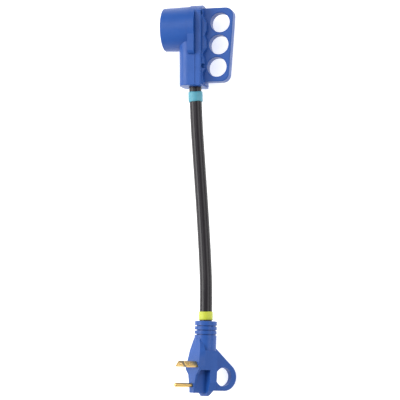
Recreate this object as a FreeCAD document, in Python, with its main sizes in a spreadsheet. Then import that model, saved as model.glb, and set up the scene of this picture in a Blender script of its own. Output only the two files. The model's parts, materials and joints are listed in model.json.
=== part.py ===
import FreeCAD, Part
import math
import os
import re

import Sketcher

# A short adapter cord for a caravan: a right-angled socket head with a three-hole
# finger handle at one end, a moulded three-prong plug with a loop handle at the other.
# It lies on a surface: +Z is up, +Y runs along the cord towards the head, and the
# barrel of the head and the prongs of the plug point towards -X.
# Millimetres. The origin is at the middle of the object's footprint, on the surface.

SIZES = [
    # where the cord enters each end, and how that end is turned
    ("head_x", -5.35), ("head_y", 140.4), ("head_z", 29.70), ("head_yaw", 0.0), ("head_roll", -4.2),
    ("plug_x", 9.4), ("plug_y", -150.75), ("plug_z", 33.68), ("plug_yaw", -2.0),
    ("plug_roll", 43.5),
    # head: barrel, flange and neck
    ("axis_height", 73.3), ("rim_x", 38.5), ("rim_radius", 27.0), ("root_radius", 28.0),
    ("flange_front", 3.0), ("flange_radius", 28.9), ("flange_half", 27.0),
    ("seam_x", 5.0), ("shoulder_low", 38.5), ("neck_half", 21.0), ("neck_front", 17.5),
    ("neck_top", 59.0), ("neck_round", 14.0), ("floor_thick", 4.0), ("bore_radius", 24.2),
    ("cavity_half", 17.5), ("cavity_radius", 13.2), ("edge_round", 1.2),
    # head: rear cover and handle
    ("cover_back", 12.6), ("hump_base", 8.8), ("seam_gap", 0.7), ("room_radius", 17.5),
    ("wall_back", 1.0), ("hump_half", 16.0), ("hump_bevel", 2.2), ("wave_round", 3.0),
    ("well_depth", 11.0), ("well_half", 11.0),
    ("plate_half", 7.5), ("plate_top", 97.6), ("plate_foot", 5.0),
    ("plate_top_x", 51.4), ("plate_foot_x", 44.4), ("finger_radius", 12.3),
    ("corner_round", 9.8), ("grip_round", 1.4), ("rim_bevel", 0.8),
    ("finger_top_x", 33.9), ("finger_top_y", 79.0), ("finger_mid_x", 32.3),
    ("finger_mid_y", 51.4), ("finger_low_x", 29.8), ("finger_low_y", 23.4),
    # housing screws
    ("upper_screw_y", 90.4), ("upper_screw_z", 17.1), ("lower_screw_y", 24.0),
    ("lower_screw_z", 14.4), ("screw_radius", 1.5), ("screw_head", 2.9), ("screw_seat", 7.4),
    ("screw_length", 9.0), ("screw_head_thick", 2.0), ("boss_radius", 3.6),
    # socket face and its contacts
    ("face_x", 37.3), ("insert_back", 14.0), ("retainer_back", 11.0), ("slot_thick", 2.8),
    ("slot_long", 14.0), ("hot_z", 15.5), ("neutral_drop", 11.5), ("ground_rise", 13.5),
    ("ground_hole", 3.4), ("pocket_front", 34.3), ("pocket_thick", 6.0), ("pocket_long", 15.6),
    ("leaf_front", 33.5), ("leaf_gap", 2.2), ("leaf_thick", 1.0), ("leaf_wide", 12.0),
    ("leaf_back", 15.2), ("tail_thick", 1.5), ("tail_wide", 8.0), ("tail_end", 3.0),
    ("sleeve_radius", 4.6), ("link_front", 8.0), ("link_thick", 1.2), ("link_wide", 5.0),
    # cord
    ("cord_radius", 7.7), ("cord_in_head", 16.0), ("cord_in_plug", 24.0), ("lead_radius", 2.3),
    ("band_radius", 9.0), ("teal_start", 5.9), ("teal_wide", 13.0),
    ("lime_radius", 8.2), ("lime_start", 1.2), ("lime_wide", 10.3),
    ("clamp_low", 6.0), ("clamp_wide", 8.0), ("clamp_thick", 2.0),
    # plug
    ("collar_radius", 13.6), ("collar_long", 50.0), ("collar_round", 1.2), ("rib_core", 11.9),
    ("rib_shift", 0.7), ("rib_wide", 1.4), ("rib_first", 5.3), ("rib_pitch", 5.3),
    ("side_half", 14.6), ("front_x", 18.0), ("facet_x", 12.0), ("facet_top", 20.0),
    ("facet_half", 5.5), ("facet_mid", 38.25), ("facet_mid_half", 10.05), ("flank_x", 9.0),
    ("panel_top", 36.0), ("widest_top", 56.5),
    ("widest_foot", 59.8), ("web_thick", 3.2), ("web_foot", 88.0), ("core_half", 4.8),
    ("recess_back", 1.0), ("back_x", 9.0), ("tail_turn", 75.0), ("tail_foot", 91.7),
    ("tail_half", 5.0), ("heel_x", 3.0), ("heel_y", 80.0),
    ("loop_x", 29.0), ("hole_x", 26.5), ("loop_y", 67.8), ("loop_radius", 17.2), ("loop_hole", 11.5),
    ("loop_half", 3.5), ("arm_x", 13.0), ("arm_y", 31.5), ("touch_x", 40.9), ("touch_y", 55.4),
    ("loop_round", 1.6),
    # prongs
    ("blade_y", 53.2), ("blade_z", 9.2), ("blade_wide", 8.6), ("blade_thick", 1.9),
    ("blade_tip", 34.4), ("blade_root", 4.0), ("eye_radius", 1.6), ("eye_back", 5.0),
    ("pin_y", 78.8), ("pin_radius", 2.6), ("pin_tip", 43.0), ("pin_root", 3.0),
    ("pin_neck", 18.6), ("neck_radius", 2.3),
    ("carrier_front", 11.0), ("carrier_back", 5.0), ("carrier_half", 13.2),
    ("carrier_top", 48.0), ("carrier_step", 58.4), ("carrier_foot", 85.0),
    ("carrier_slim", 3.4),
]

doc = FreeCAD.newDocument("adapter_cord")
sheet = doc.addObject("Spreadsheet::Sheet", "Sizes")
for row, (alias, number) in enumerate(SIZES, start=1):
    sheet.set("A%d" % row, alias)
    sheet.set("B%d" % row, str(number))
    sheet.setAlias("B%d" % row, alias)
doc.recompute()

NAMES = {alias for alias, number in SIZES}
SUB_PARTS = []
AXIS_TURN = {
    "x": FreeCAD.Rotation(FreeCAD.Vector(0, 1, 0), 90),
    "y": FreeCAD.Rotation(FreeCAD.Vector(1, 0, 0), -90),
    "z": FreeCAD.Rotation(),
}


def size(alias):
    """A number from the sheet."""
    return float(sheet.get(alias))


def linked(text):
    """An expression over the sheet's cells, from one over plain names."""
    return re.sub(r"[a-z_]+", lambda m: "Sizes." + m[0] if m[0] in NAMES else m[0], str(text))


def bind(thing, **cells):
    """Bind properties to the sheet; a double underscore stands for a dot."""
    for name, text in cells.items():
        thing.setExpression(name.replace("__", "."), linked(text))


def place(thing, x, y, z, turn=FreeCAD.Rotation()):
    thing.Placement = FreeCAD.Placement(FreeCAD.Vector(), turn)
    bind(thing, Placement__Base__x=x, Placement__Base__y=y, Placement__Base__z=z)


def body(name):
    made = doc.addObject("PartDesign::Body", name)
    made.Label = name
    return made


def box(owner, kind, name, x, y, z):
    """A box from low to high along each axis, added to a body, cut from it, or alone."""
    made = feature(owner, kind, "Box", name)
    bind(made, Length="(%s) - (%s)" % (x[1], x[0]), Width="(%s) - (%s)" % (y[1], y[0]),
         Height="(%s) - (%s)" % (z[1], z[0]))
    place(made, x[0], y[0], z[0])
    return made


def rod(owner, kind, name, axis, radius, length, at):
    """A cylinder along an axis, starting at a point."""
    made = feature(owner, kind, "Cylinder", name)
    bind(made, Radius=radius, Height=length)
    place(made, *at, turn=AXIS_TURN[axis])
    return made


def cone(owner, kind, name, axis, start_radius, end_radius, length, at):
    """A tapered rod along an axis, starting at a point."""
    made = feature(owner, kind, "Cone", name)
    bind(made, Radius1=start_radius, Radius2=end_radius, Height=length)
    place(made, *at, turn=AXIS_TURN[axis])
    return made


def feature(owner, kind, shape, name):
    if owner is None:
        return doc.addObject("Part::" + shape, name)
    return owner.newObject("PartDesign::%s%s" % (kind, shape), name)


def number(text):
    """The value of a sum of names and numbers, such as "seam_x + 2"."""
    total, sign = 0.0, 1.0
    for word in text.split():
        if word in "+-":
            sign = 1.0 if word == "+" else -1.0
            continue
        total += sign * (size(word) if word in NAMES else float(word))
        sign = 1.0
    return total


def outline(owner, name, role, corners):
    """A closed sketch of straight sides on an origin plane, each corner bound to the sheet."""
    sketch = owner.newObject("Sketcher::SketchObject", name)
    plane = [p for p in owner.Origin.OriginFeatures if p.Role == role][0]
    sketch.AttachmentSupport = (plane, [""])
    sketch.MapMode = "FlatFace"
    points = [FreeCAD.Vector(number(a), number(b), 0) for a, b in corners]
    count = len(points)
    for i in range(count):
        sketch.addGeometry(Part.LineSegment(points[i], points[(i + 1) % count]), False)
    for i in range(count):
        sketch.addConstraint(Sketcher.Constraint("Coincident", i, 2, (i + 1) % count, 1))
    for i, (a, b) in enumerate(corners):
        for kind, text, value in (("DistanceX", a, points[i].x), ("DistanceY", b, points[i].y)):
            index = sketch.addConstraint(Sketcher.Constraint(kind, -1, 1, i, 1, value))
            sketch.renameConstraint(index, "%s_%d" % (kind, i))
            sketch.setExpression("Constraints.%s_%d" % (kind, i), linked(text))
    return sketch


def pad(owner, sketch, length):
    """Pad a sketch equally to both sides of its plane."""
    made = owner.newObject("PartDesign::Pad", sketch.Name + "_pad")
    made.Profile = sketch
    made.Midplane = True
    bind(made, Length=length)
    sketch.Visibility = False
    return made


def soften(owner, name, radius, test, kind="Fillet"):
    """Fillet or chamfer the edges of a body whose middle and box pass a test."""
    doc.recompute()
    base = owner.Tip
    picked = []
    for i, edge in enumerate(base.Shape.Edges, start=1):
        middle = edge.valueAt((edge.FirstParameter + edge.LastParameter) / 2)
        if test(middle, edge.BoundBox):
            picked.append("Edge%d" % i)
    made = owner.newObject("PartDesign::" + kind, name)
    made.Base = (base, picked)
    bind(made, **{"Radius" if kind == "Fillet" else "Size": radius})
    doc.recompute()
    return made


def boolean(kind, name, base, tool):
    made = doc.addObject("Part::" + kind, name)
    made.Base = base
    made.Tool = tool
    return made


def fuse(name, shapes):
    made = doc.addObject("Part::MultiFuse", name)
    made.Shapes = shapes
    return made


def lie(end):
    """How one end of the adapter lies: its place, its yaw and its roll about the cord."""
    yaw = FreeCAD.Rotation(FreeCAD.Vector(0, 0, 1), size(end + "_yaw"))
    roll = FreeCAD.Rotation(FreeCAD.Vector(0, 1, 0), size(end + "_roll"))
    at = FreeCAD.Vector(size(end + "_x"), size(end + "_y"), size(end + "_z"))
    return FreeCAD.Placement(at, yaw * roll)


def finish(thing, label, end, own=FreeCAD.Placement()):
    """Lay a sub-part where its end of the adapter lies, and keep it for writing out."""
    thing.Label = label
    thing.Placement = lie(end) * own
    SUB_PARTS.append(thing)
    return thing


def bent_path(points):
    """Straight runs joined by tangent arcs, each as large as its two runs allow."""
    edges, radii = [], []
    start = points[0]
    for before, corner, after in zip(points, points[1:], points[2:]):
        way_in = corner - before
        way_out = after - corner
        half_turn = way_in.getAngle(way_out) / 2
        reach = 0.45 * min(way_in.Length, way_out.Length)
        radius = reach / math.tan(half_turn)
        radii.append(radius)
        way_in.normalize()
        way_out.normalize()
        arc_start = corner - way_in * reach
        arc_end = corner + way_out * reach
        inward = (way_out - way_in).normalize()
        middle = corner + inward * (radius / math.cos(half_turn) - radius)
        edges.append(Part.LineSegment(start, arc_start).toShape())
        edges.append(Part.Arc(arc_start, middle, arc_end).toShape())
        start = arc_end
    edges.append(Part.LineSegment(start, points[-1]).toShape())
    return Part.Wire(edges), radii


def tube_along(points, radius):
    path, radii = bent_path(points)
    along = points[1] - points[0]
    ring = Part.Wire(Part.makeCircle(radius, points[0], along))
    shell = path.makePipeShell([ring], True, False)
    return shell, path, radii


def lead(name, end, points):
    """One insulated conductor of the cord, from where the jacket ends to its terminal."""
    made = doc.addObject("Part::Feature", name)
    made.Shape = tube_along([FreeCAD.Vector(*p) for p in points], size("lead_radius"))[0]
    return finish(made, name, end)


# ---------------------------------------------------------------- the head's housing

def screw_places():
    """Each housing screw: its name, height along the neck, and side offset."""
    return [
        (name + side, name + "_screw_y", sign + name + "_screw_z")
        for name in ("upper", "lower") for side, sign in (("_near", ""), ("_far", "- "))
    ]


def front_housing():
    shell = body("front_housing")
    box(shell, "Additive", "neck", ("- neck_front", "seam_x"), ("0", "neck_top"),
        ("- neck_half", "neck_half"))
    soften(shell, "neck_rounding", "neck_round",
           lambda mid, reach: reach.YLength > 40 and mid.x < -10)
    soften(shell, "neck_foot_edge", "edge_round",
           lambda mid, reach: reach.YMax < 0.01 and mid.x < 4.9)
    box(shell, "Additive", "shoulders", ("- flange_front", "seam_x"),
        ("shoulder_low", "axis_height"), ("- flange_half", "flange_half"))
    soften(shell, "shoulder_edges", "4.5",
           lambda mid, reach: abs(mid.z) > 26.9 and mid.y < size("shoulder_low") + 0.1 and reach.XLength > 5)
    rod(shell, "Additive", "flange", "x", "flange_radius", "flange_front + seam_x",
        ("- flange_front", "axis_height", "0"))
    cone(shell, "Additive", "barrel", "x", "rim_radius", "root_radius", "rim_x - flange_front",
         ("- rim_x", "axis_height", "0"))
    soften(shell, "rim_edge", "edge_round",
           lambda mid, reach: abs(mid.x + size("rim_x")) < 0.01)
    rod(shell, "Subtractive", "socket_bore", "x", "bore_radius", "rim_x - wall_back + 1",
        ("- rim_x - 1", "axis_height", "0"))
    rod(shell, "Subtractive", "terminal_room", "x", "room_radius", "seam_x + wall_back + 2",
        ("- wall_back - 1", "axis_height", "0"))
    rod(shell, "Subtractive", "neck_cavity", "y", "cavity_radius", "axis_height - floor_thick",
        ("- 1.3", "floor_thick", "0"))
    box(shell, "Subtractive", "neck_room", ("- 6", "seam_x + 1"), ("floor_thick", "axis_height"),
        ("- cavity_half", "cavity_half"))
    rod(shell, "Subtractive", "cord_hole", "y", "cord_radius", "floor_thick + 2", ("0", "- 1", "0"))
    for name, y, z in screw_places():
        if name.startswith("lower"):
            rod(shell, "Additive", name + "_boss", "x", "boss_radius", "seam_x + 7", ("- 7", y, z))
        rod(shell, "Subtractive", name + "_pilot", "x", "screw_radius",
            "screw_seat + 1", ("screw_seat - screw_length", y, z))
    return finish(shell, "front_housing", "head")


def rear_cover():
    cover = body("rear_cover")
    hump = outline(cover, "hump", "XY_Plane", [
        ("hump_base", "2"), ("14.5", "2"), ("13.2", "15"), ("15.6", "21"), ("15.6", "33"),
        ("13.4", "40"), ("17.8", "46"), ("17.8", "57"), ("16.0", "63"), ("18.3", "69"),
        ("18.3", "79"), ("14.0", "87"), ("14.0", "95"), ("hump_base", "95")])
    pad(cover, hump, "2 * hump_half")
    soften(cover, "hump_waves", "wave_round",
           lambda mid, reach: mid.x > 12.5 and 10 < mid.y < 88 and reach.ZLength > 20)
    soften(cover, "hump_edge", "hump_bevel",
           lambda mid, reach: abs(abs(mid.z) - size("hump_half")) < 0.01 and mid.x > 10, "Chamfer")
    plate = outline(cover, "handle", "XY_Plane", [
        ("hump_base", "plate_foot"), ("plate_foot_x", "plate_foot"),
        ("plate_top_x", "plate_top"), ("hump_base", "plate_top")])
    pad(cover, plate, "2 * plate_half")
    soften(cover, "handle_corners", "corner_round",
           lambda mid, reach: mid.x > 40 and reach.ZLength > size("plate_half"))
    soften(cover, "handle_edges", "grip_round",
           lambda mid, reach: mid.x > 20 and abs(abs(mid.z) - size("plate_half")) < 0.01)
    for hole in ("top", "mid", "low"):
        x, y = "finger_%s_x" % hole, "finger_%s_y" % hole
        rod(cover, "Subtractive", hole + "_hole", "z", "finger_radius", "40", (x, y, "- 20"))
        cone(cover, "Subtractive", hole + "_near_rim", "z", "finger_radius", "finger_radius + rim_bevel",
             "rim_bevel", (x, y, "plate_half - rim_bevel"))
        cone(cover, "Subtractive", hole + "_far_rim", "z", "finger_radius + rim_bevel", "finger_radius",
             "rim_bevel", (x, y, "- plate_half"))
    rod(cover, "Additive", "cover_round", "x", "flange_radius",
        "cover_back - seam_x - edge_round", ("seam_x", "axis_height", "0"))
    cone(cover, "Additive", "cover_rim", "x", "flange_radius", "flange_radius - edge_round",
         "edge_round", ("cover_back - edge_round", "axis_height", "0"))
    box(cover, "Additive", "cover_lower", ("seam_x", "cover_back"), ("0", "axis_height"),
        ("- neck_half", "neck_half"))
    for name, low, high in (("near", "neck_half", "40"), ("far", "- 40", "- neck_half")):
        box(cover, "Subtractive", name + "_side_trim", ("0", "20"), ("- 1", "110"), (low, high))
    soften(cover, "cover_edge", "edge_round",
           lambda mid, reach: abs(mid.x - size("cover_back")) < 0.01
           and abs(mid.z) > size("neck_half") - 0.1, "Chamfer")
    box(cover, "Subtractive", "terminal_well", ("seam_x - 1", "well_depth"),
        ("floor_thick", "axis_height + 20"), ("- well_half", "well_half"))
    rod(cover, "Subtractive", "cord_way", "y", "cord_radius", "floor_thick + 2", ("0", "- 1", "0"))
    for name, low, high in (("near", "neck_half - seam_gap", "40"),
                            ("far", "- 40", "- neck_half + seam_gap")):
        box(cover, "Subtractive", name + "_seam", ("seam_x - 1", "seam_x + seam_gap"),
            ("- 1", "axis_height + 30"), (low, high))
    for name, y, z in screw_places():
        rod(cover, "Subtractive", name + "_shank", "x", "screw_radius", "20", ("0", y, z))
        rod(cover, "Subtractive", name + "_sink", "x", "screw_head", "20", ("screw_seat", y, z))
    return finish(cover, "rear_cover", "head")


def housing_screws():
    """Four pan-head screws that hold the rear cover on, each with a cross recess."""
    screws = []
    for name, y, z in screw_places():
        shank = rod(None, "", name + "_screw_shank", "x", "screw_radius", "screw_length",
                    ("screw_seat - screw_length", y, z))
        head = rod(None, "", name + "_screw_head", "x", "screw_head - 0.1", "screw_head_thick",
                   ("screw_seat", y, z))
        bars = [
            box(None, "", name + "_cross_" + way,
                ("screw_seat + 1", "screw_seat + screw_head_thick + 1"),
                (y + " - " + tall, y + " + " + tall), (z + " - " + deep, z + " + " + deep))
            for way, tall, deep in (("tall", "1.9", "0.4"), ("wide", "0.4", "1.9"))
        ]
        whole = fuse(name + "_screw_solid", [shank, head])
        screws.append(boolean("Cut", name + "_screw", whole, fuse(name + "_cross", bars)))
    group = doc.addObject("Part::Compound", "housing_screws")
    group.Links = screws
    return finish(group, "housing_screws", "head")


# ---------------------------------------------------------------- the socket's inside

CONTACTS = [
    ("hot_contact_near", "axis_height", "hot_z"),
    ("hot_contact_far", "axis_height", "- hot_z"),
    ("neutral_contact", "axis_height - neutral_drop", "0"),
]
GROUND_Y = "axis_height + ground_rise"


def around(middle, wide):
    """The low and high side of something that wide around a middle."""
    return ("%s - %s / 2" % (middle, wide), "%s + %s / 2" % (middle, wide))


def socket_insert():
    """The insulating face with its three blade slots and its round ground hole."""
    insert = body("socket_insert")
    rod(insert, "Additive", "disc", "x", "bore_radius - 0.1", "face_x - insert_back",
        ("- face_x", "axis_height", "0"))
    soften(insert, "face_edge", "0.8", lambda mid, reach: mid.x < -size("face_x") + 0.01)
    for name, y, z in CONTACTS:
        box(insert, "Subtractive", name + "_slot", ("- face_x - 1", "- insert_back"),
            around(y, "slot_long"), around(z, "slot_thick"))
        box(insert, "Subtractive", name + "_pocket", ("- pocket_front", "- insert_back + 1"),
            around(y, "pocket_long"), around(z, "pocket_thick"))
    rod(insert, "Subtractive", "ground_hole_bore", "x", "ground_hole", "40",
        ("- face_x - 1", GROUND_Y, "0"))
    rod(insert, "Subtractive", "ground_pocket", "x", "sleeve_radius + 0.2", "30",
        ("- pocket_front + 6", GROUND_Y, "0"))
    return finish(insert, "socket_insert", "head")


def contact_retainer():
    """The disc behind the face that keeps the contacts in, with a hole for each tail."""
    disc = body("contact_retainer")
    rod(disc, "Additive", "disc", "x", "bore_radius - 0.1", "insert_back - retainer_back",
        ("- insert_back", "axis_height", "0"))
    for name, y, z in CONTACTS + [("ground_contact", GROUND_Y, "0")]:
        box(disc, "Subtractive", name + "_hole", ("- insert_back - 1", "0"),
            around(y, "tail_wide"), around(z, "tail_thick"))
    return finish(disc, "contact_retainer", "head")


def terminal_tail(contact, y, z):
    box(contact, "Additive", "tail", ("- leaf_back", "- tail_end"),
        around(y, "tail_wide"), around(z, "tail_thick"))


def blade_contact(name, y, z):
    """Two spring leaves, the bridge that joins them, and a tail for the conductor."""
    contact = body(name)
    box(contact, "Additive", "bridge", ("- leaf_back - 1.2", "- leaf_back + 0.2"),
        around(y, "leaf_wide"), around(z, "(leaf_gap + 2 * leaf_thick)"))
    for side, low, high in (
            ("near", z + " + leaf_gap / 2", z + " + leaf_gap / 2 + leaf_thick"),
            ("far", z + " - leaf_gap / 2 - leaf_thick", z + " - leaf_gap / 2")):
        box(contact, "Additive", side + "_leaf", ("- leaf_front", "- leaf_back"),
            around(y, "leaf_wide"), (low, high))
    terminal_tail(contact, y, z)
    return finish(contact, name, "head")


def ground_contact():
    """A round sleeve for the ground pin, closed at the back, with a tail."""
    contact = body("ground_contact")
    rod(contact, "Additive", "sleeve", "x", "sleeve_radius", "13", ("- leaf_back - 12", GROUND_Y, "0"))
    rod(contact, "Subtractive", "sleeve_bore", "x", "ground_hole - 0.1", "12",
        ("- leaf_back - 13", GROUND_Y, "0"))
    terminal_tail(contact, GROUND_Y, "0")
    return finish(contact, "ground_contact", "head")


def hot_link():
    """The strap that feeds both hot contacts from the one hot conductor."""
    strap = body("hot_link")
    box(strap, "Additive", "bar", ("- link_front", "- link_front + link_thick"),
        around("axis_height + 2", "link_wide"),
        ("- hot_z + tail_thick / 2", "hot_z - tail_thick / 2"))
    return finish(strap, "hot_link", "head")


def socket_leads():
    low, side = size("cord_in_head"), 3.2
    high = size("axis_height")
    lead("white_lead_head", "head", [(-2, low, side), (-2, 38, side), (-6.5, 50, side),
                                     (-6.5, 62, side)])
    lead("black_lead_head", "head", [(-2, low, -side), (-2, 34, -side), (-5.5, 54, -12.3),
                                     (-5.5, high - 1, -12.3)])
    lead("green_lead_head", "head", [(3.4, low, 0), (3.4, 42, 0), (4.5, 66, 3.1),
                                     (-1, 84, 3.1), (-9, 87, 3.1)])


def cord_clamp():
    """The plate that presses the cord's jacket down in the neck, with its two screws."""
    plate = body("cord_clamp")
    box(plate, "Additive", "plate", ("cord_radius", "cord_radius + clamp_thick"),
        ("clamp_low", "clamp_low + clamp_wide"), ("- well_half + 0.5", "well_half - 0.5"))
    return finish(plate, "cord_clamp", "head")


front_housing()
rear_cover()
housing_screws()
socket_insert()
contact_retainer()
for contact_name, contact_y, contact_z in CONTACTS:
    blade_contact(contact_name, contact_y, contact_z)
ground_contact()
hot_link()
socket_leads()
cord_clamp()


# ---------------------------------------------------------------- the plug

def lofted(owner, name, sections):
    """A ruled loft between outlines that lie across the prongs' direction."""
    sketches = []
    for i, (at_x, corners) in enumerate(sections):
        sketch = outline(owner, "%s_%d" % (name, i), "YZ_Plane", corners)
        bind(sketch, AttachmentOffset__Base__z=at_x)
        sketch.Visibility = False
        sketches.append(sketch)
    made = owner.newObject("PartDesign::AdditiveLoft", name)
    made.Profile = sketches[0]
    made.Sections = sketches[1:]
    made.Ruled = True
    return made


def both_sides(half_outline):
    """A closed outline from its half at positive z, top to bottom, mirrored."""
    return half_outline + [(y, "- " + z) for y, z in reversed(half_outline)]


def plug_block():
    """The outside of the moulding, before the ribs and the inside are cut."""
    block = body("plug_block")
    lofted(block, "wedge", [
        ("- front_x", both_sides([
            ("- facet_top", "facet_half"),
            ("- facet_mid", "facet_mid_half"),
            ("- widest_top", "side_half"), ("- widest_foot", "side_half")])),
        ("- flank_x", both_sides([
            ("- facet_top", "facet_half"), ("- panel_top", "side_half"),
            ("- widest_top", "side_half"), ("- widest_foot", "side_half")]))])
    slope = outline(block, "slope", "XY_Plane", [
        ("- facet_x", "- facet_top + 3"), ("- front_x", "- widest_top"),
        ("- 40", "- widest_top"), ("- 40", "- facet_top + 3")])
    cut_through(block, slope, "60")
    box(block, "Additive", "flanks", ("- flank_x - 0.1", "back_x"),
        ("- widest_foot", "- panel_top"), ("- side_half", "side_half"))
    lofted(block, "web", [
        (at_x, both_sides([("- widest_foot + 0.1", "side_half"), ("- 66", "8.6"),
                           ("- 82", "core_half"), ("- web_foot", "core_half")]))
        for at_x in ("- front_x", "- front_x + web_thick")])
    box(block, "Additive", "core", ("- front_x + 1", "recess_back"),
        ("- web_foot", "- widest_foot + 1"), ("- core_half", "core_half"))
    lofted(block, "tail", [
        (at_x, both_sides([("- widest_foot + 0.1", "side_half"), ("- tail_turn", "side_half"),
                           ("- 85", "11"), ("- 90", "7.5"), ("- tail_foot", "tail_half")]))
        for at_x in ("- recess_back", "back_x")])
    heel = outline(block, "heel", "XY_Plane", [
        ("back_x + 1", "- heel_y"), ("back_x + 1", "- tail_foot - 1"),
        ("heel_x", "- tail_foot - 1"), ("back_x", "- heel_y")])
    cut_through(block, heel, "60")
    rod(block, "Additive", "collar", "y", "collar_radius", "collar_long",
        ("0", "- collar_long", "0"))
    soften(block, "collar_edge", "collar_round", lambda mid, reach: reach.YMin > -0.01)
    arm = outline(block, "arm", "XY_Plane", [
        ("6", "- arm_y"), ("arm_x", "- arm_y"), ("touch_x", "- touch_y"),
        ("loop_x", "- loop_y - loop_radius"), ("6", "- loop_y - loop_radius")])
    pad(block, arm, "2 * loop_half")
    rod(block, "Additive", "loop", "z", "loop_radius", "2 * loop_half",
        ("loop_x", "- loop_y", "- loop_half"))
    rod(block, "Subtractive", "loop_hole", "z", "loop_hole", "4 * loop_half",
        ("hole_x", "- loop_y", "- 2 * loop_half"))
    soften(block, "loop_edges", "loop_round",
           lambda mid, reach: mid.x > 16 and abs(abs(mid.z) - size("loop_half")) < 0.01)
    return block


def cut_through(owner, sketch, length):
    made = owner.newObject("PartDesign::Pocket", sketch.Name + "_cut")
    made.Profile = sketch
    made.Midplane = True
    bind(made, Length=length)
    sketch.Visibility = False


def rib_grooves():
    """Three grooves round the strain relief, deep at the front and shallow at the back."""
    rings = []
    for i in range(3):
        low = "- rib_first - %d * rib_pitch - rib_wide" % i
        outer = rod(None, "", "groove_%d_outer" % i, "y", "collar_radius + 3", "rib_wide",
                    ("0", low, "0"))
        inner = rod(None, "", "groove_%d_inner" % i, "y", "rib_core", "rib_wide",
                    ("rib_shift", low, "0"))
        rings.append(boolean("Cut", "groove_%d" % i, outer, inner))
    return rings


def blade(name, sign):
    """A flat prong with a bevelled tip and a small eye, turned 45 degrees."""
    prong = body(name)
    box(prong, "Additive", "bar", ("- blade_tip", "- blade_root"),
        ("- blade_wide / 2", "blade_wide / 2"), ("- blade_thick / 2", "blade_thick / 2"))
    soften(prong, "tip_edges", "0.6",
           lambda mid, reach: mid.x < 0.01 - size("blade_tip") and reach.YLength > 2, "Chamfer")
    rod(prong, "Subtractive", "eye", "z", "eye_radius", "10", ("- blade_tip + eye_back", "0", "- 5"))
    turn = FreeCAD.Rotation(FreeCAD.Vector(1, 0, 0), -45 * sign)
    own = FreeCAD.Placement(FreeCAD.Vector(0, -size("blade_y"), sign * size("blade_z")), turn)
    return finish(prong, name, "plug", own)


def ground_pin():
    pin = body("ground_pin")
    rod(pin, "Additive", "bar", "x", "pin_radius", "pin_tip - pin_neck",
        ("- pin_tip", "- pin_y", "0"))
    rod(pin, "Additive", "root", "x", "neck_radius", "pin_neck - pin_root + 1",
        ("- pin_neck - 1", "- pin_y", "0"))
    soften(pin, "tip", "2.2", lambda mid, reach: mid.x < 0.01 - size("pin_tip"))
    return finish(pin, "ground_pin", "plug")


def plug_tools():
    """The space of the prongs in the moulding, as shapes in the plug's own place."""
    spaces = []
    for side, sign in (("near", 1), ("far", -1)):
        space = doc.addObject("Part::Box", side + "_blade_space")
        bind(space, Length="blade_tip - blade_root", Width="blade_wide", Height="blade_thick")
        turn = FreeCAD.Rotation(FreeCAD.Vector(1, 0, 0), -45 * sign)
        corner = turn * FreeCAD.Vector(0, -size("blade_wide") / 2, -size("blade_thick") / 2)
        middle = FreeCAD.Vector(-size("blade_tip"), -size("blade_y"), sign * size("blade_z"))
        space.Placement = FreeCAD.Placement(middle + corner, turn)
        spaces.append(space)
    spaces.append(rod(None, "", "pin_space", "x", "neck_radius", "pin_tip - pin_root",
                      ("- pin_tip", "- pin_y", "0")))
    return spaces


def carrier_blocks(prefix):
    return [
        box(None, "", prefix + "_wide", ("- carrier_front", "- carrier_back"),
            ("- carrier_step", "- carrier_top"), ("- carrier_half", "carrier_half")),
        box(None, "", prefix + "_slim", ("- carrier_front", "- carrier_back"),
            ("- carrier_foot", "- carrier_step"), ("- carrier_slim", "carrier_slim")),
    ]


def blade_carrier():
    """The stiff bridge inside the moulding that holds the three prongs in line."""
    whole = fuse("carrier_whole", carrier_blocks("carrier"))
    made = boolean("Cut", "blade_carrier", whole, fuse("carrier_spaces", plug_tools()))
    return finish(made, "blade_carrier", "plug")


def lead_route(name):
    """The way of each conductor in the plug, from the jacket's end to its prong."""
    low = -size("cord_in_plug")
    beside_blade = size("lead_radius") - size("blade_root")
    beside_pin = size("lead_radius") - size("pin_root")
    routes = {
        "black": [(0, low, 3.4), (0, -34, 3.4), (beside_blade, -45, 8.4), (beside_blade, -56.5, 9.2)],
        "white": [(0, low, -3.4), (0, -34, -3.4), (beside_blade, -45, -8.4),
                  (beside_blade, -56.5, -9.2)],
        "green": [(4.4, low, 0), (4.4, -50, 0), (beside_pin, -66, 0), (beside_pin, -83, 0)],
    }
    return [FreeCAD.Vector(*p) for p in routes[name]]


def plug_body():
    """One moulding: strain relief, body and loop, closed round the carrier and the leads."""
    inside = fuse("plug_inside", carrier_blocks("carrier_space") + plug_tools() + rib_grooves())
    cord_way = rod(None, "", "cord_way_in_plug", "y", "cord_radius", "cord_in_plug",
                   ("0", "- cord_in_plug", "0"))
    ways = []
    for name in ("black", "white", "green"):
        way = doc.addObject("Part::Feature", name + "_lead_way")
        way.Shape = tube_along(lead_route(name), size("lead_radius"))[0]
        ways.append(way)
    cut = boolean("Cut", "plug_ribbed", plug_block(), inside)
    made = boolean("Cut", "plug_body", cut, fuse("plug_ways", ways + [cord_way]))
    return finish(made, "plug_body", "plug")


def plug_leads():
    for name in ("black", "white", "green"):
        lead(name + "_lead_plug", "plug", lead_route(name))


# ---------------------------------------------------------------- the cord

def cord_route():
    """The cord's points: straight out of the head, a slight sag, straight into the plug."""
    head, plug = lie("head"), lie("plug")
    along = FreeCAD.Vector(0, 1, 0)
    return [
        head.multVec(along * size("cord_in_head")),
        head.multVec(along * -34),
        FreeCAD.Vector(-1.9, 47.9, 28.2),
        FreeCAD.Vector(3.0, -13.1, 28.0),
        FreeCAD.Vector(7.9, -72.1, 30.0),
        plug.multVec(along * 34),
        plug.multVec(along * -size("cord_in_plug")),
    ]


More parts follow.
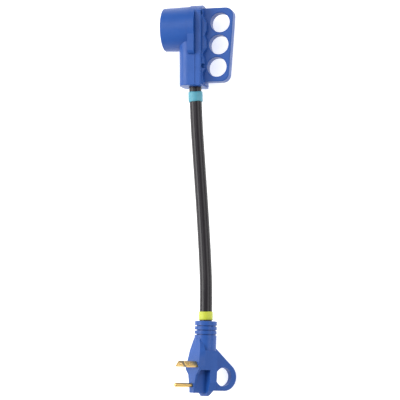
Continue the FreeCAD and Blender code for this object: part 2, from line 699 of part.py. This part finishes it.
def cord_and_bands():
    points = cord_route()
    jacket, path, radii = tube_along(points, size("cord_radius"))
    print("cord points", [tuple(round(v, 2) for v in p) for p in points])
    print("cord arc radii", [round(r) for r in radii], "length", round(path.Length, 1))
    section = math.pi * size("cord_radius") ** 2
    print("cord volume over section times length", round(jacket.Volume / section / path.Length, 4))
    cord = doc.addObject("Part::Feature", "cord_jacket")
    cord.Shape = jacket
    cord.Label = "cord_jacket"
    SUB_PARTS.append(cord)
    band("teal_band", "head", "band_radius", "teal_wide", "- teal_start - teal_wide", cord)
    band("lime_band", "plug", "lime_radius", "lime_wide", "lime_start", cord)


def band(name, end, radius, wide, start, cord):
    """A coloured band shrunk on the jacket near one end."""
    ring = rod(None, "", name + "_ring", "y", radius, wide, ("0", start, "0"))
    doc.recompute()
    made = doc.addObject("Part::Feature", name)
    outer = ring.Shape.transformed(lie(end).toMatrix())
    made.Shape = outer.cut(cord.Shape)
    made.Label = name
    SUB_PARTS.append(made)


plug_body()
blade_carrier()
blade("hot_blade", 1)
blade("neutral_blade", -1)
ground_pin()
plug_leads()
cord_and_bands()


# ---------------------------------------------------------------- checks and files

doc.recompute()
for thing in doc.Objects:
    if "Invalid" in thing.State or "Error" in thing.State:
        raise RuntimeError("%s failed to build: %s" % (thing.Name, thing.State))
os.makedirs("parts", exist_ok=True)
for part in SUB_PARTS:
    if part.Shape.isNull() or not part.Shape.isValid():
        raise RuntimeError("%s has no valid shape" % part.Label)
    part.Shape.exportStep("parts/%s.step" % part.Label)
print(len(SUB_PARTS), "sub-parts written")
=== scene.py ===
import json
import math

import bmesh
import bpy
from mathutils import Matrix, Vector


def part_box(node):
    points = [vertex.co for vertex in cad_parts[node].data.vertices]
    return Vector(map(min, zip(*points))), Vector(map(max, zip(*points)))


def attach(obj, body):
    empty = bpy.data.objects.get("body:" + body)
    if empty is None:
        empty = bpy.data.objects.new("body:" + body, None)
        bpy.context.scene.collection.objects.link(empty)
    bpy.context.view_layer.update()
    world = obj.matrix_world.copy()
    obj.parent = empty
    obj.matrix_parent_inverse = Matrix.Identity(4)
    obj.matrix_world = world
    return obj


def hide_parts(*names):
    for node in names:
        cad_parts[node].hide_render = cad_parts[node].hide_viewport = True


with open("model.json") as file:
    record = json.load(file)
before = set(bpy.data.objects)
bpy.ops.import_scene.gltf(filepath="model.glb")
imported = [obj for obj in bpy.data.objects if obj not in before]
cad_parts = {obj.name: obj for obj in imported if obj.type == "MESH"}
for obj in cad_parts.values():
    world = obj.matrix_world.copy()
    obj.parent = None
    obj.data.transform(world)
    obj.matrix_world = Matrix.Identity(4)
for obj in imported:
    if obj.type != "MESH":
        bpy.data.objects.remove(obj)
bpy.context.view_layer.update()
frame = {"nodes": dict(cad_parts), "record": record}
nodes = frame["nodes"]
scene = bpy.context.scene

# A short adapter cord: a right-angled socket head with a finger handle, a moulded plug with a
# pull loop, and a thick cord with two coloured bands between them. The head, the plug and what
# is in them are the design's own solids. The cord and its bands are made here.
# Lengths are in metres, and those given in millimetres are multiplied by MM.
MM = 0.001

# ---------------------------------------------------------------- camera

# The camera stands CAMERA_FAR from AIM, turned from straight above, and CAMERA_Y along Y from
# there. FRAME_TALL is how much height it sees at AIM.
CAMERA_TURN = math.radians(9.8)
CAMERA_FAR = 2.3
CAMERA_Y = -0.20
FRAME_TALL = 0.4955
AIM = Vector((0.0012, -0.0009, 0.030))
SENSOR_WIDE_MM = 36
CLIP_END = 20


def make_camera():
    """A long lens, nearly straight above, a little to the handle's side and the plug's end."""
    data = bpy.data.cameras.new("studio_camera")
    camera = bpy.data.objects.new("studio_camera", data)
    scene.collection.objects.link(camera)
    place = AIM + Vector((math.sin(CAMERA_TURN), 0, math.cos(CAMERA_TURN))) * CAMERA_FAR
    place.y += CAMERA_Y
    back = (place - AIM).normalized()
    right = Vector((0, 1, 0)).cross(back).normalized()
    up = back.cross(right)
    turn = Matrix((right, up, back)).transposed().to_4x4()
    camera.matrix_world = Matrix.Translation(place) @ turn
    data.sensor_width = SENSOR_WIDE_MM
    data.lens = SENSOR_WIDE_MM * (place - AIM).length / FRAME_TALL
    data.clip_end = CLIP_END
    scene.camera = camera


make_camera()

# ---------------------------------------------------------------- the cord's own line

CORD_RADIUS = 7.7 * MM
# The control points of the cord's line, in mm, from inside the head to inside the plug.
ROUTE = [
    (-5.35, 156.4, 29.7), (-4.0, 106.4, 29.7), (-0.3, 47.9, 28.2), (3.9, -13.1, 28.0),
    (7.6, -72.1, 30.0), (9.9, -116.77, 33.68), (8.56, -174.74, 33.68),
]


def make_cord():
    """The jacket as a round curve along ROUTE, and the points of its centre line."""
    data = bpy.data.curves.new("cord", "CURVE")
    data.dimensions = "3D"
    spline = data.splines.new("NURBS")
    spline.points.add(len(ROUTE) - 1)
    for point, (x, y, z) in zip(spline.points, ROUTE):
        point.co = (x * MM, y * MM, z * MM, 1)
    spline.use_endpoint_u = True
    spline.order_u = 3
    spline.resolution_u = 24
    cord = bpy.data.objects.new("cord", data)
    scene.collection.objects.link(cord)
    line = bpy.data.meshes.new_from_object(cord)
    points = [vertex.co.copy() for vertex in line.vertices]
    bpy.data.meshes.remove(line)
    data.bevel_depth = CORD_RADIUS
    data.bevel_resolution = 10
    data.use_fill_caps = True
    return cord, points


cord, cord_line = make_cord()

# ---------------------------------------------------------------- materials

# The tone and the sheen drift slowly over a piece, and the grain is fine. Scales are per metre.
TONE_SCALE = 26
TONE_DETAIL = 5
TONE_LUMPS = 0.62
SHEEN_SCALE = 75
SHEEN_DETAIL = 4
GRAIN_DETAIL = 2
GRAIN_STRENGTH = 0.5
EVEN_LUMPS = 0.5
# Most of a noise lies between these two values.
NOISE_LOW = 0.3
NOISE_HIGH = 0.7


def make_node(tree, kind, values=()):
    """A new node of a kind, with the values of its inputs by name."""
    node = tree.nodes.new(kind)
    for name, value in dict(values).items():
        node.inputs[name].default_value = value
    return node


def noise(tree, scale, detail, stretch, lumps=EVEN_LUMPS):
    """A noise over the object's own place, in metres, stretched along the axes."""
    place = make_node(tree, "ShaderNodeTexCoord")
    mapping = make_node(tree, "ShaderNodeMapping", {"Scale": stretch})
    tree.links.new(place.outputs["Object"], mapping.inputs["Vector"])
    made = make_node(tree, "ShaderNodeTexNoise",
                     {"Scale": scale, "Detail": detail, "Roughness": lumps})
    tree.links.new(mapping.outputs["Vector"], made.inputs["Vector"])
    return made.outputs["Fac"]


def ranged(tree, source, low, high):
    """Spread a noise's middle over low to high."""
    made = make_node(tree, "ShaderNodeMapRange",
                     {"From Min": NOISE_LOW, "From Max": NOISE_HIGH,
                      "To Min": low, "To Max": high})
    tree.links.new(source, made.inputs["Value"])
    return made.outputs["Result"]


def two_tone(tree, source, dark, light):
    """Spread a noise's middle from a dark tone to a light one."""
    ramp = make_node(tree, "ShaderNodeValToRGB")
    stops = ((NOISE_LOW, dark), (NOISE_HIGH, light))
    for element, (position, tone) in zip(ramp.color_ramp.elements, stops):
        element.position = position
        element.color = (*tone, 1)
    tree.links.new(source, ramp.inputs["Fac"])
    return ramp.outputs["Color"]


def material(name, dark, light, rough, grain, **uniform):
    """Two close tones, a patchy sheen and a raised grain.

    rough is the sheen's lowest and highest roughness, grain is (scale, depth in mm, stretch),
    and uniform gives the shader's other inputs, with _ for each space in a name."""
    made = bpy.data.materials.new(name)
    made.use_nodes = True
    tree = made.node_tree
    shader = tree.nodes["Principled BSDF"]
    for socket, value in uniform.items():
        shader.inputs[socket.replace("_", " ")].default_value = value
    scale, depth, stretch = grain
    tone = noise(tree, TONE_SCALE, TONE_DETAIL, stretch, TONE_LUMPS)
    tree.links.new(two_tone(tree, tone, dark, light), shader.inputs["Base Color"])
    patches = noise(tree, SHEEN_SCALE, SHEEN_DETAIL, stretch)
    tree.links.new(ranged(tree, patches, *rough), shader.inputs["Roughness"])
    bump = make_node(tree, "ShaderNodeBump",
                     {"Strength": GRAIN_STRENGTH, "Distance": depth * MM})
    tree.links.new(noise(tree, scale, GRAIN_DETAIL, stretch), bump.inputs["Height"])
    tree.links.new(bump.outputs["Normal"], shader.inputs["Normal"])
    return made


# How a grain is stretched: not at all, or drawn out along the object's length.
EVEN = (1, 1, 1)
ALONG = (1, 0.06, 1)
MATERIALS = {
    "blue_plastic": material(
        "moulded_blue", (0.013, 0.076, 0.325), (0.019, 0.094, 0.385), (0.30, 0.42),
        (1500, 0.22, EVEN), Specular_IOR_Level=0.36),
    "black_insulator": material(
        "moulded_black", (0.012, 0.012, 0.013), (0.020, 0.020, 0.022), (0.35, 0.5),
        (1300, 0.12, EVEN)),
    "screw_steel": material(
        "plated_steel", (0.13, 0.14, 0.17), (0.20, 0.21, 0.25), (0.28, 0.45),
        (2600, 0.06, (1, 1, 0.1)), Metallic=1.0),
    "brass": material(
        "drawn_brass", (0.72, 0.44, 0.13), (0.90, 0.62, 0.24), (0.18, 0.34),
        (1800, 0.06, (0.12, 1, 0.12)), Metallic=1.0),
    "white_insulation": material(
        "white_lead", (0.70, 0.70, 0.67), (0.82, 0.82, 0.79), (0.35, 0.5), (900, 0.1, ALONG)),
    "black_insulation": material(
        "black_lead", (0.014, 0.014, 0.014), (0.024, 0.024, 0.024), (0.35, 0.5),
        (900, 0.1, ALONG)),
    "green_insulation": material(
        "green_lead", (0.03, 0.26, 0.07), (0.05, 0.36, 0.10), (0.35, 0.5), (900, 0.1, ALONG)),
    "cord_rubber": material(
        "cord_jacket", (0.008, 0.006, 0.009), (0.014, 0.011, 0.015), (0.20, 0.28),
        (1100, 0.08, ALONG), Specular_IOR_Level=0.37),
    "teal_plastic": material(
        "teal_tape", (0.070, 0.290, 0.390), (0.095, 0.390, 0.470), (0.34, 0.5),
        (520, 0.30, EVEN)),
    "lime_plastic": material(
        "lime_tape", (0.440, 0.500, 0.022), (0.560, 0.610, 0.045), (0.34, 0.5),
        (520, 0.30, EVEN)),
}


def wear(piece, slot):
    """Give a piece the material of a slot."""
    piece.data.materials.clear()
    piece.data.materials.append(MATERIALS[slot])


for part in frame["record"]["subparts"]:
    wear(nodes[part["node"]], part["material_slot"])

wear(cord, "cord_rubber")
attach(cord, "root")
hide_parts("cord_jacket")

# ---------------------------------------------------------------- bands on the cord

RING_STEPS = 96
# The middle of a band's wandering end lies this far inside its solid in the design.
BAND_INSET = 0.25 * MM
# How far a band's faces waver, and how far off the cord's surface its inside lies, both in mm.
BAND_BULGE = 0.06
BAND_SUNK = -0.35
# How much of a band's height its outer edge and its shoulder reach.
EDGE_SHARE = 0.35
SHOULDER_SHARE = 0.8


def line_at(y):
    """The cord's centre and its direction where it crosses a given y."""
    for a, b in zip(cord_line, cord_line[1:]):
        if b.y <= y <= a.y:
            return a.lerp(b, (a.y - y) / (a.y - b.y)), (a - b).normalized()
    raise ValueError("the cord doesn't reach y = %.4f" % y)


def end_wander(turn, share):
    """How a band's end strays as it goes round, from two wide waves and five narrow ones."""
    return math.sin(2 * turn + 0.6 + share) + 0.5 * math.sin(5 * turn + 2 * share)


def make_band(name, slot, node, profile, wave):
    """A tape or sleeve round the cord: rings of the profile, its ends a little uneven.

    profile is (share of the width, how far the ring stands off the cord in mm), and wave
    is how far, in mm, each end wanders as it goes round."""
    low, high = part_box(node)
    foot = low.y + BAND_INSET
    top = high.y - BAND_INSET
    mesh = bmesh.new()
    rings = []
    for share, off in profile:
        ring = []
        edge = 2 * share - 1
        for step in range(RING_STEPS):
            turn = 2 * math.pi * step / RING_STEPS
            y = foot + (top - foot) * share + wave * MM * end_wander(turn, share) * edge
            centre, along = line_at(y)
            side = Vector((0, 0, 1)).cross(along).normalized()
            over = along.cross(side)
            bulge = BAND_BULGE * math.sin(3 * turn + 5 * share) * (1 - abs(edge))
            radius = CORD_RADIUS + (off + bulge) * MM
            ring.append(mesh.verts.new(
                centre + side * math.cos(turn) * radius + over * math.sin(turn) * radius))
        rings.append(ring)
    for first, second in zip(rings, rings[1:] + rings[:1]):
        for step in range(RING_STEPS):
            after = (step + 1) % RING_STEPS
            mesh.faces.new((first[step], first[after], second[after], second[step]))
    bmesh.ops.recalc_face_normals(mesh, faces=mesh.faces)
    data = bpy.data.meshes.new(name)
    mesh.to_mesh(data)
    mesh.free()
    data.shade_smooth()
    band = bpy.data.objects.new(name, data)
    scene.collection.objects.link(band)
    wear(band, slot)
    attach(band, "root")
    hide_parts(node)
    return band


def tape_profile(stand, lip):
    """Outside from end to end with soft shoulders, then back along the inside.

    stand is the band's height over the cord in mm, and lip its shoulder's share of the width."""
    outside = [(0.0, EDGE_SHARE * stand), (lip / 3, SHOULDER_SHARE * stand), (lip, stand)]
    middle = [(share / 10, stand) for share in range(2, 9)]
    far = [(1 - share, off) for share, off in reversed(outside)]
    inside = [(share, BAND_SUNK) for share in (1.0, 0.5, 0.0)]
    return outside + middle + far + inside


teal = make_band("teal_wrap", "teal_plastic", "teal_band", tape_profile(1.25, 0.08), 0.35)
lime = make_band("lime_wrap", "lime_plastic", "lime_band", tape_profile(0.85, 0.06), 0.18)

# ---------------------------------------------------------------- floor and light

FLOOR_REACH = 4.0
FLOOR_CORNERS = ((-1, -1), (1, -1), (1, 1), (-1, 1))
WORLD_STRENGTH = 0.5


def make_floor():
    """A white table that glows a little, so the shadows on it stay faint."""
    data = bpy.data.meshes.new("floor")
    corners = [(x * FLOOR_REACH, y * FLOOR_REACH, 0) for x, y in FLOOR_CORNERS]
    data.from_pydata(corners, [], [(0, 1, 2, 3)])
    floor = bpy.data.objects.new("floor", data)
    scene.collection.objects.link(floor)
    data.materials.append(material(
        "light_table", (0.80, 0.80, 0.80), (0.82, 0.82, 0.82), (0.85, 0.95), (60, 0.05, EVEN),
        Emission_Color=(1, 1, 1, 1), Emission_Strength=0.60))


def soft_box(name, place, wide, tall, watts):
    """A rectangular light at a place, turned to the frame's origin, under the object's middle."""
    data = bpy.data.lights.new(name, "AREA")
    data.shape = "RECTANGLE"
    data.size = wide
    data.size_y = tall
    data.energy = watts
    light = bpy.data.objects.new(name, data)
    scene.collection.objects.link(light)
    light.location = place
    light.rotation_euler = (-Vector(place)).to_track_quat("-Z", "Y").to_euler()


make_floor()
soft_box("soft_box_left", (-1.3, 0.1, 0.9), wide=1.6, tall=1.0, watts=22)
soft_box("soft_box_right", (1.4, 0.1, 1.0), wide=1.6, tall=1.0, watts=9)
soft_box("soft_box_top", (-0.4, 0.9, 1.9), wide=1.4, tall=1.4, watts=10)

world = bpy.data.worlds.new("studio")
world.use_nodes = True
background = world.node_tree.nodes["Background"]
background.inputs["Color"].default_value = (1, 1, 1, 1)
background.inputs["Strength"].default_value = WORLD_STRENGTH
scene.world = world
scene.view_settings.view_transform = "Standard"
